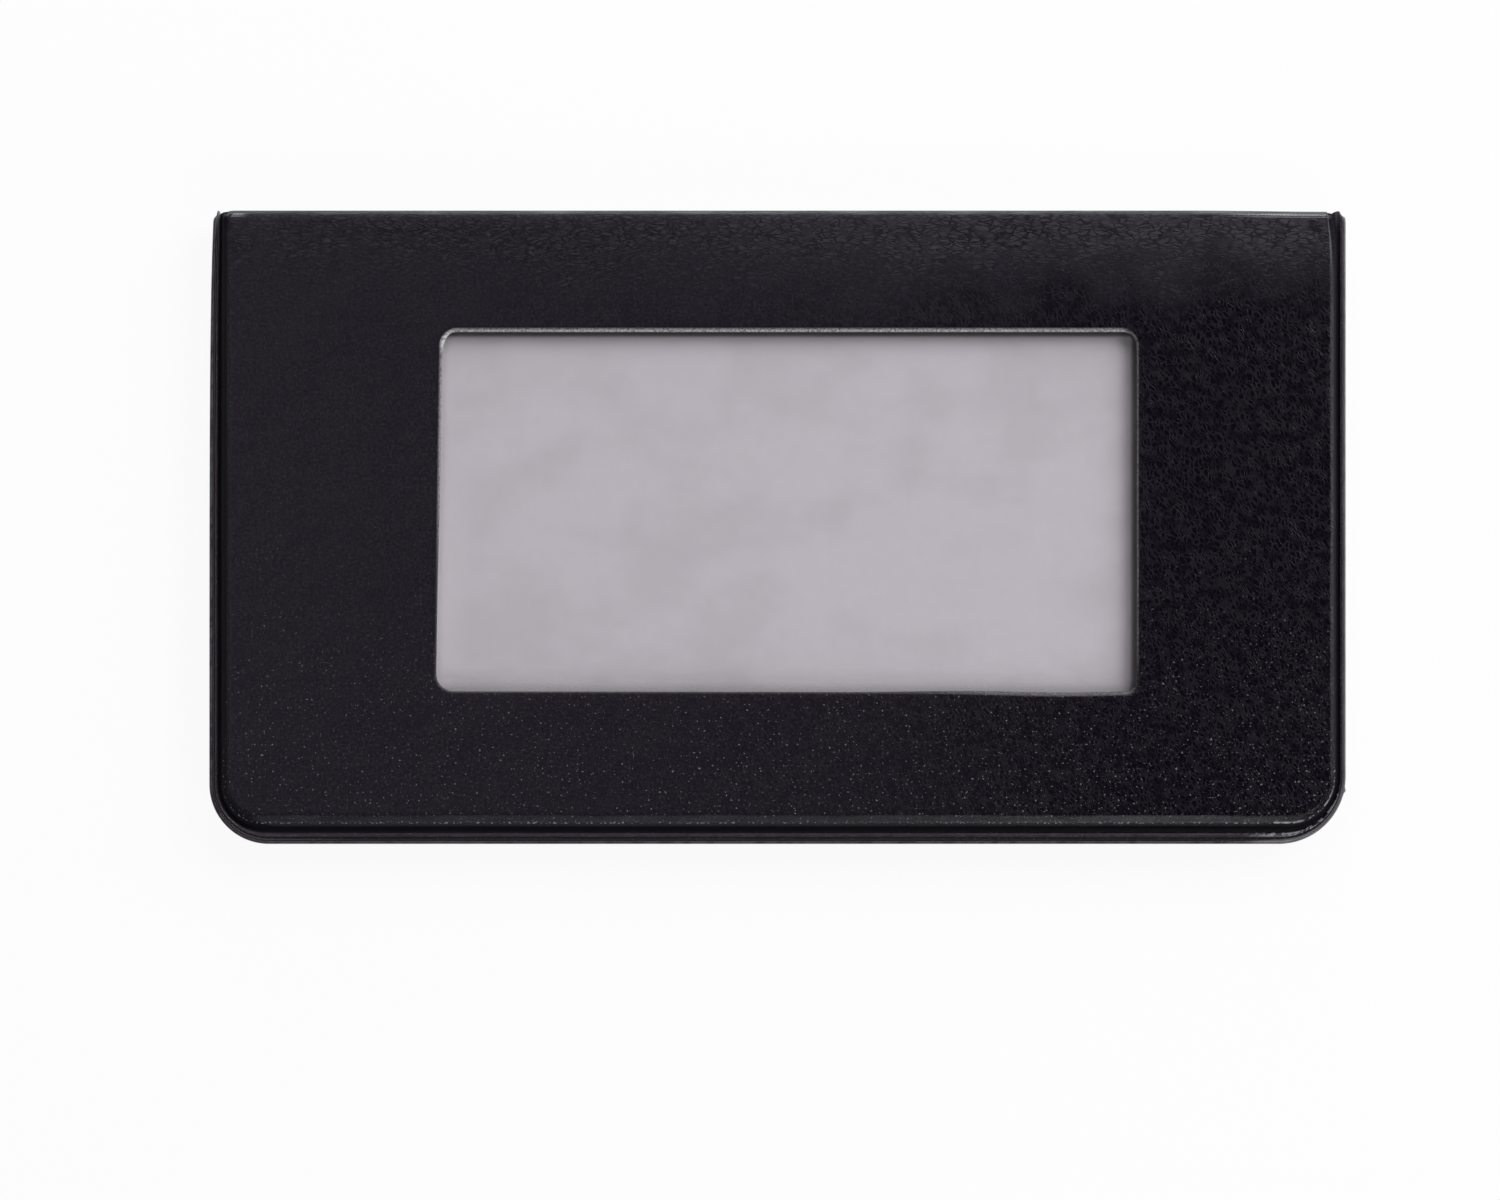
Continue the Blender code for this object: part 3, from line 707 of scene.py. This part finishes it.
def foldStrip(rim, column):
    # Between the rim's two ends, over the fold and just past it: straight across, with a drop at the right
    count = beforePanel + 1
    start, end = rim[:count, column], rim[::-1][:count, column]
    f = topSteps[None, :, None]
    strip = start[:, None] * (1 - f) + end[:, None] * f
    late = smoothStep(topSteps, 0.88, 1.0)
    strip[..., 1] = start[:, None, 1] * (1 - late) + end[:, None, 1] * late
    return strip


def arc(x, y, radius, angle):
    # Points at each angle in degrees round a middle
    a = np.radians(angle)
    return np.stack([x + radius * np.cos(a), y + radius * np.sin(a)], -1)


def windowLoop(step):
    # The window's outline grown by step, with its points matched to the loop round it
    left, right, low, high = windowEdges(step)
    topLeft, lowLeft, lowRight, topRight = (radius + step for radius in window["radii"])
    eighth = np.linspace(0, 45, len(cornerSteps) + 1)[:-1]
    quarter = arcSteps * 90
    s = np.linspace(0, 1, len(sideSteps) - len(nearSteps) - len(cornerSteps))
    inner = topSteps[len(topEnds) : -len(topEnds)]
    f = ((inner - inner[0]) / (inner[-1] - inner[0]))[::-1]
    down = high - topLeft + (low + lowLeft - high + topLeft) * s[:-1]
    along = left + lowLeft + (right - lowRight - left - lowLeft) * lowSteps
    up = low + lowRight + (high - topRight - low - lowRight) * s
    back = left + topLeft + (right - topRight - left - topLeft) * f
    loop = np.concatenate([
        arc(left + topLeft, high - topLeft, topLeft, 135 + eighth),
        np.stack([left + 0 * down, down], -1),
        arc(left + lowLeft, low + lowLeft, lowLeft, 180 + quarter),
        np.stack([along, low + 0 * along], -1),
        arc(right - lowRight, low + lowRight, lowRight, 270 + quarter),
        np.stack([right + 0 * up, up], -1),
        arc(right - topRight, high - topRight, topRight, 45 - eighth[::-1]),
        arc(right - topRight, high - topRight, topRight, 45 + eighth[1:]),
        np.stack([back, high + 0 * back], -1),
        arc(left + topLeft, high - topLeft, topLeft, 135 - eighth[::-1]),
    ])
    downwards, leftwards = (high - loop[:, 1]) / (high - low), (right - loop[:, 0]) / (right - left)
    loop[:, 0] -= window["slant"] * downwards * leftwards
    loop[:, 1] += window["rise"] * downwards * leftwards
    nearDroop = np.exp(-(((loop[:, 0] - window["droopAt"]) / window["droopLength"]) ** 2))
    loop[:, 1] -= window["droop"] * smoothStep(downwards, 0.5, 1) * nearDroop
    return loop


def cutRings():
    # Over the window's edge and down its cut: (ring, points, x, y, depth, paleness)
    edge = windowLoop(0.0)
    inward = edge - windowLoop(0.2)
    inward /= np.linalg.norm(inward, axis=1, keepdims=True)
    left, right, low, high = windowEdges()
    x, y = edge.T
    # The cut slopes and shows its pale threads most at the top, and less at the left and lower right. The
    # paleness is pale backing threads with a painted highlight, brightest along the top, and a painted
    # highlight on the lip at the right
    top = smoothStep(y, high - 3.0, high - 0.7)
    onRight = smoothStep(x, right - 1.6, right - 0.2)
    onLeft = (1 - smoothStep(x, left - 0.3, left + 0.7)) * smoothStep(y, -8, 6)
    lowRight = (1 - smoothStep(y, low + 0.1, low + 0.8)) * smoothStep(x, 6, 22)
    slope = window["bevelLow"] + (window["bevel"] - window["bevelLow"]) * top * (1 - 0.7 * onRight)
    slope = slope + 0.10 * onLeft + 0.20 * lowRight
    shares = [top * (1 - 0.75 * onRight), 0.45 * onLeft, 0.16 * lowRight, 0.06 + 0 * top]
    pale = np.maximum.reduce(shares)
    lip = np.maximum(pale * 0.5, 0.4 * onRight * smoothStep(y, -15, -9))
    # How far out, as a length before the edge and a share of the slope past it; depth; paleness, partly
    # painted highlight
    rows = (
        (-0.16, 0.01, 0.0 * pale),
        (-0.06, 0.035, 0.6 * lip),
        (0.0, 0.09, lip),
        (0.35, 0.19, pale),
        (0.75, 0.29, pale),
        (1.0, 0.38, pale * 0.8),
    )
    rings = []
    for share, depth, paleness in rows:
        out = share if share < 0 else share * slope
        ring = edge + inward * np.broadcast_to(out, pale.shape)[:, None]
        rings.append(np.column_stack([ring, np.full(len(ring), depth), paleness]))
    return np.stack(rings)


def panelRings(rim, strip, column, depth, extra):
    # From the rim's inner line to the window: straight lines between matched points, then the extra rings
    sweep = rim[beforePanel : len(rim) - beforePanel, column]
    outer = np.concatenate([sweep, strip[-1][::-1][1:]])
    near = windowLoop(0.5)
    f = (np.linspace(0, 1, window["rings"]) ** 0.9)[:, None, None]
    place = outer[None, :, :2] * (1 - f) + near[None] * f
    flatRings = np.dstack([place, np.full(place.shape[:2], depth), np.zeros(place.shape[:2])])
    rings = np.concatenate([flatRings, extra])
    place, cut = rings[..., :3].copy(), rings[..., 3]
    place[..., 2] = holder["thick"] - place[..., 2]
    flat = np.dstack([place[..., 0], downSheet(place[..., 1])])
    inset, inner = np.full(cut.shape, rimPoints[0][0]), np.full(cut.shape, float(depth > 0))
    return np.dstack([place, flat, inset, inner, cut])


def closedPanel(panel):
    # The back cover has no window: its last ring runs in to a short line
    middle = panel[-1].copy()
    cells, end = len(lowSteps), float(skin["backMiddle"])
    across = np.linspace(-end, end, cells + 1)
    before = len(sideSteps) - 1 - len(nearSteps) + len(arcSteps)
    atRight = np.full(len(middle) - before - 2 * cells, end)
    middle[:, 0] = np.concatenate([np.full(before, -end), across[:-1], atRight, across[::-1][1:]])
    middle[:, 1] = window["up"]
    middle[:, 3], middle[:, 4] = middle[:, 0], downSheet(middle[:, 1])
    f = np.linspace(0, 1, 14)[:, None, None]
    return panel[-1][None] * (1 - f) + middle[None] * f


def skinHalf(name, front):
    # One cover with its half of the spine: rim, fold, outer and inner panels, and the window's cut
    rim = rimGrid()
    outerStrip, innerStrip = foldStrip(rim, 0), foldStrip(rim, -1)
    rings = cutRings()
    last = rings[-1:].copy()
    last[..., 2] = holder["sheet"]
    none = rings[:0]
    outerPanel = panelRings(rim, outerStrip, 0, 0.0, rings if front else none)
    innerPanel = panelRings(rim, innerStrip, -1, holder["sheet"], last if front else none)
    grids = [rim, outerStrip, innerStrip, outerPanel, innerPanel]
    if front:
        grids.append(np.stack([outerPanel[-1], innerPanel[-1]]))
    else:
        grids += [closedPanel(outerPanel), closedPanel(innerPanel)]
    for grid in grids:
        eased(grid)
        if not front:
            turnedOver(grid)
            grid[..., 3] += skin["backSheet"]
    return makePiece(name, grids, grained, ("rim", "inner", "cut"))


frontSkin = skinHalf("grained_front", True)
backSkin = skinHalf("grained_back", False)
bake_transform(backSkin)
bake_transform(frontSkin)
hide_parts("back_skin")
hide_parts("front_skin", "spine_skin")
print("skins made")

foldLining = dict(
    left=-50.1,
    right=50.33,
    thickness=0.14,
    columns=90,
    pucker=0.03,  # depth of the slow puckers where the two covers pull the sheet
    # Outer side: back from the fold's face, depth. It comes off the sheets' edge and lies on the skin
    path=[
        (2.44, 1.33), (2.34, 1.31), (2.22, 1.24), (2.08, 1.08), (1.95, 0.88), (1.80, 0.70), (1.62, 0.58),
        (1.40, 0.53), (1.20, 0.51), (1.02, 0.50), (0.86, 0.53), (0.72, 0.60), (0.60, 0.71), (0.53, 0.85),
        (0.50, 1.00), (0.50, 1.25), (0.50, 1.60), (0.50, 1.95), (0.50, 2.298),
    ],
)


def foldLiningHalf(name, front):
    # The path, doubled at the sheet's thickness, carried from one end of the fold to the other
    path = smoothThrough(foldLining["path"], 3)
    along = np.gradient(path, axis=0)
    normal = np.stack([-along[:, 1], along[:, 0]], -1) / np.linalg.norm(along, axis=1, keepdims=True)
    normal *= np.sign(normal[len(normal) // 2, 0] + normal[len(normal) // 2, 1])
    normal[0], normal[-1] = (0, 1), (1, 0)
    inside = path + normal * foldLining["thickness"]
    section = np.concatenate([path, inside[::-1], path[:1]])
    length = np.concatenate([[0], np.cumsum(np.linalg.norm(np.diff(path, axis=0), axis=1))])
    length = np.concatenate([length, length[::-1], length[:1]])
    x = np.linspace(foldLining["left"], foldLining["right"], foldLining["columns"])[:, None]
    back, depth = section.T
    sides = (x, holder["fold"] - back, holder["thick"] - depth, x, length)
    grid = np.dstack(np.broadcast_arrays(*sides)).copy()
    pucker = np.sin(x * 0.35) + 0.7 * np.sin(x * 0.83 + 1.1)
    pucker = pucker * smoothStep(depth, 0.5, 0.7) * (1 - smoothStep(depth, 0.9, 1.2))
    grid[..., 1] -= foldLining["pucker"] * pucker
    eased(grid)
    if not front:
        turnedOver(grid)
        grid[..., 4] *= -1
    return makePiece(name, [grid], liningOnSheet)


frontFoldLining = foldLiningHalf("fold_lining_front", True)
backFoldLining = foldLiningHalf("fold_lining_back", False)
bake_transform(backFoldLining)
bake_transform(frontFoldLining)
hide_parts("spine_lining")
print("fold lining made")

pocket = dict(
    mouth=48.2,
    top=26.675,
    landStart=0.5,  # inset of its outer edge
    edge=0.1,  # width of the rounding there
    landEnd=1.88,
    roomStart=2.28,
    foot=2.25,  # inset where the seam beside the fold ends
    landDepth=1.6,
    roomDepth=2.05,
    thickness=0.2,
    seam=0.6,  # width of the seam beside the fold, up to the foot
    corner=5.8,
    notch=7.5,  # radius of the thumb notch
    notchAt=1.45,
    middle=-36,  # left end of the line on which the faces close
    sag=0.045,  # slow waves of the loose sheet, towards the card
    cells=70,  # along each side
)


def pocketPath(inset):
    # From the mouth along the fold, down the left side and back along the bottom: (rows, columns, 2)
    left = -holder["halfWidth"] + np.where(inset > 1.3, inset - 0.35, inset * 0.95 / 1.3)
    low = holder["bottom"] + inset
    start, foot = pocket["landStart"], pocket["foot"]
    land = (np.minimum(inset, foot) - start) / (foot - start)
    high = pocket["top"] - land * pocket["seam"] - np.maximum(inset - foot, 0)
    lower, upper = np.maximum(pocket["corner"] - inset, 0.4), 0.4 + 0 * inset
    run = np.linspace(0, 1, pocket["cells"] + 1)[:, None]
    a = np.linspace(0, 90, 11)[:-1, None] * math.pi / 180
    s = np.linspace(0, 1, 40)[:-1, None]
    mouth = pocket["mouth"]
    along = np.stack([mouth + (left + upper - mouth) * run[:-1], high + 0 * run[:-1]], -1)
    upperTurn = np.stack([left + upper - upper * np.sin(a), high - upper + upper * np.cos(a)], -1)
    down = np.stack([left + 0 * s, high - upper + (low + lower - high + upper) * s], -1)
    lowerTurn = np.stack([left + lower - lower * np.cos(a), low + lower - lower * np.sin(a)], -1)
    back = np.stack([left + lower + (mouth - left - lower) * run, low + 0 * run], -1)
    return np.concatenate([along, upperTurn, down, lowerTurn, back])


def pocketFace(side):
    # One face of the sheet. From the edge inwards its depth is the land's, then rises to the room's
    edge, past = [0.5, 0.51, 0.54, 0.6], [2.5, 3.0, 4.0]
    slope = np.linspace(pocket["landEnd"], pocket["roomStart"], 11)
    inset = np.concatenate([edge, np.linspace(0.75, 1.8, 7), slope, past])
    half = pocket["thickness"] / 2
    raised = smoothStep(inset, pocket["landEnd"], pocket["roomStart"])
    depth = pocket["landDepth"] + half + (pocket["roomDepth"] - pocket["landDepth"]) * raised
    turned = (edge[-1] - np.minimum(inset, edge[-1])) / pocket["edge"]
    depth = depth + side * half * np.sqrt(np.clip(1 - turned**2, 0, 1))
    path = pocketPath(inset)
    ring = np.dstack([path, np.broadcast_to(depth, path.shape[:2])])
    weld = smoothStep(inset, 0.52, 0.6) * (1 - smoothStep(inset, 1.75, 1.95))
    ring = np.dstack([ring, np.broadcast_to(weld, ring.shape[:2])])
    # The rest runs in from the last ring to a line across the pocket's middle
    last = ring[:, -1]
    middle = last.copy()
    across = np.linspace(pocket["mouth"], pocket["middle"], pocket["cells"] + 1)
    turns = np.full(len(middle) - 2 * len(across) + 1, float(pocket["middle"]))
    middle[:, 0] = np.concatenate([across[:-1], turns, across[::-1]])
    middle[:, 1] = pocket["notchAt"]
    f = np.concatenate([np.linspace(0, 0.62, 12)[:-1], np.linspace(0.62, 1, 42)])[None, :, None]
    rest = last[:, None] * (1 - f) + middle[:, None] * f
    return [ring, rest]


def pocketSheet(name, front, material):
    # Two faces, joined by the strip round their edges. The thumb notch draws the mouth in
    faces = [pocketFace(side) for side in (-1, 1)]
    ends = [[np.stack([a[row], b[row]]) for row in (0, -1)] for a, b in zip(*faces)]
    grids = faces[0] + faces[1] + ends[0] + ends[1]
    made = []
    for grid in grids:
        x, y, depth, weld = (grid[..., k].copy() for k in range(4))
        away = np.abs(y - pocket["notchAt"])
        notch = np.sqrt(np.clip(pocket["notch"] ** 2 - away**2, 0, None)) - 0.9
        fillet = 0.5 * (notch + np.sqrt(notch**2 + 0.25)) - 0.02  # its shoulders are rounded
        loosePart = (weld < 0.01) * (1 - smoothStep(away, 20, 24))
        x = x - fillet * smoothStep(x, 30, pocket["mouth"]) ** 0.5 * loosePart
        inner = np.minimum(y - holder["bottom"], pocket["top"] + 1.8 - y)
        loose = smoothStep(inner, 3.0, 9.0)
        waves = 0.5 + 0.3 * np.sin(x * 0.21 + y * 0.13) + 0.2 * np.sin(x * 0.11 - y * 0.31 + 2)
        depth = depth - pocket["sag"] * waves * loose
        made.append(np.dstack([x, y, holder["thick"] - depth, x, downSheet(y), weld]))
        if not front:
            turnedOver(made[-1])
    return makePiece(name, made, material, ("weld",))


frontPocket = pocketSheet("pocket_front", True, liningFlat)
backPocket = pocketSheet("pocket_back", False, clear)
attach(frontPocket, "front_cover")
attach(backPocket, "back_cover")
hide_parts("front_lining")
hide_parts("clear_pocket")
print("pockets made")

finishes = dict(
    back_board=stiffener,
    front_board=stiffener,
    back_lining=liningFlat,
    window_film=milky,
    display_card=paper,
)
for node, material in finishes.items():
    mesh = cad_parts[node].data
    mesh.materials.clear()
    mesh.materials.append(material)
print("solids finished")

stage = dict(size=3.0, drop=0.2, backdrop=0.93, colour=(0.86, 0.86, 0.86, 1), white=(1, 1, 1, 1))


def makeFloor():
    # Mostly plain white to the camera, so that only a soft shadow shows on it
    paint = Paint("floor")
    seen = 0
    for kind in ("Camera", "Glossy", "Transmission"):
        seen = paint.node("ShaderNodeLightPath", output=f"Is {kind} Ray") + seen
    seen = paint.math("MINIMUM", seen, 1)
    diffuse = paint.node("ShaderNodeBsdfDiffuse", {}, {"Color": stage["colour"]})
    glow = paint.node("ShaderNodeEmission", {}, {"Color": stage["white"], "Strength": 1.0})
    surface = paint.node("ShaderNodeMixShader", {}, (seen * stage["backdrop"], diffuse, glow))
    paint.node("ShaderNodeOutputMaterial", {}, (surface,))
    half, low = stage["size"] / 2, -stage["drop"] * mm
    corners = [(x * half, y * half, low) for x, y in ((-1, -1), (1, -1), (1, 1), (-1, 1))]
    mesh = bpy.data.meshes.new("floor")
    mesh.from_pydata(corners, [], [(0, 1, 2, 3)])
    mesh.materials.append(paint.material)
    floor = bpy.data.objects.new("floor", mesh)
    bpy.context.scene.collection.objects.link(floor)


lampDistance = 0.9
lamps = [
    # name, direction to the lamp, diameter in metres, share of the light that falls on a flat face
    ("key", (0.72, 0.58, 0.62), 0.66, 0.54),
    ("top", (-0.05, 0.80, 0.60), 0.45, 0.12),
    ("left", (-0.36, 0.05, 0.93), 0.24, 0.07),
    ("corner", (0.62, -0.72, 0.60), 0.18, 0.075),
    ("front", (0.10, -0.85, 0.42), 0.50, 0.080),
    ("fold", (0.0, 1.0, 0.14), 0.36, 0.037),
    ("edge", (1.0, 0.1, 0.15), 0.30, 0.020),
    ("west", (-1.0, 0.1, 0.20), 0.30, 0.014),
]
worldLight = dict(colour=(0.98, 0.98, 1.0, 1), strength=0.05)


def makeLight():
    # A lamp's power gives its share: share x pi squared x distance squared, over the cosine of its angle
    for name, direction, size, share in lamps:
        towards = np.array(direction) / np.linalg.norm(direction)
        data = bpy.data.lights.new(name, "AREA")
        data.shape, data.size = "DISK", size
        data.energy = share * (math.pi * lampDistance) ** 2 / towards[2]
        lamp = bpy.data.objects.new(name, data)
        lamp.location = towards * lampDistance
        lamp.rotation_euler = lamp.location.to_track_quat("Z", "Y").to_euler()
        bpy.context.scene.collection.objects.link(lamp)
    world = bpy.data.worlds.new("studio")
    world.use_nodes = True
    background = world.node_tree.nodes["Background"]
    background.inputs["Color"].default_value = worldLight["colour"]
    background.inputs["Strength"].default_value = worldLight["strength"]
    bpy.context.scene.world = world


camera = dict(lens=150, sensor=36, away=0.5751, tilt=0.0, aim=(-2.539, -6.727, 4.6))


def makeCamera():
    data = bpy.data.cameras.new("camera")
    data.lens, data.sensor_width, data.clip_start = camera["lens"], camera["sensor"], 0.01
    eye = bpy.data.objects.new("camera", data)
    tilt = math.radians(camera["tilt"])
    x, y, z = (value * mm for value in camera["aim"])
    eye.location = (x, y - camera["away"] * math.sin(tilt), z + camera["away"] * math.cos(tilt))
    eye.rotation_euler = (tilt, 0, 0)
    bpy.context.scene.collection.objects.link(eye)
    bpy.context.scene.camera = eye


makeFloor()
makeLight()
makeCamera()
bpy.context.scene.view_settings.view_transform = "Standard"
print("stage made")
